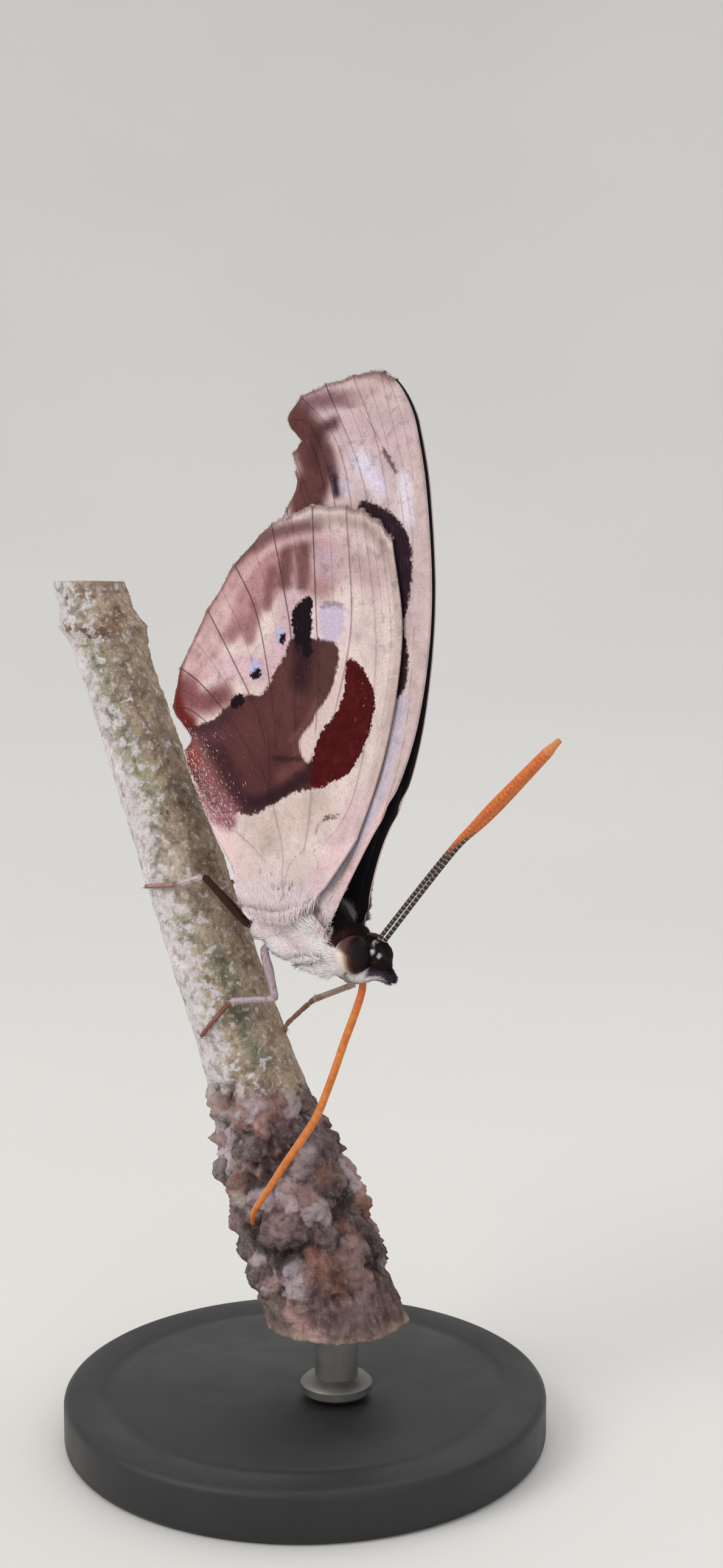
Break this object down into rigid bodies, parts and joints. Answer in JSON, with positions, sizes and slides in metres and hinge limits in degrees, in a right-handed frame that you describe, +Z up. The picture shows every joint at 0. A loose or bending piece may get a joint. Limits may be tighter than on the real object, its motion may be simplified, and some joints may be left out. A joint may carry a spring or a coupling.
{
  "type": "catonephele butterfly",
  "caption": "Life-size brush-footed butterfly with closed wings, feeding head down on a cut branch on a plain stand.",
  "frame": {"origin": "centre of the stand's flat underside, below the middle of the thorax", "axes": "+Z up, the butterfly's body in the XZ plane with its head towards +X, its left side towards +Y"},
  "size_m": [0.0481, 0.034, 0.0736],
  "materials": {
    "stand": "satin black",
    "bark": "rough bark with pale lichen",
    "body_wool": "woolly scales",
    "abdomen_scales": "matt scales",
    "head_scales": "dark matt scales",
    "eye": "glossy, finely faceted",
    "palp": "pale scales",
    "antenna": "satin orange club on a dark ringed shaft",
    "proboscis": "satin amber",
    "leg_pale": "pale scaled",
    "leg_brown": "brown scaled",
    "wing": "matt scales, patterned"
  },
  "bodies": {
    "root": {"stand_base": "stand", "stand_rod": "stand", "perch_branch": "bark", "thorax": "body_wool", "abdomen": "abdomen_scales", "head": "head_scales", "eye_left": "eye", "eye_right": "eye", "palp_left": "palp", "palp_right": "palp", "antenna_left": "antenna", "antenna_right": "antenna", "proboscis": "proboscis", "leg_fore_left": "leg_pale", "leg_fore_right": "leg_pale", "leg_mid_left": "leg_pale", "leg_mid_right": "leg_pale", "leg_hind_left": "leg_brown", "leg_hind_right": "leg_brown", "forewing_left": "wing", "forewing_right": "wing", "hindwing_left": "wing", "hindwing_right": "wing"}
  },
  "joints": []
}
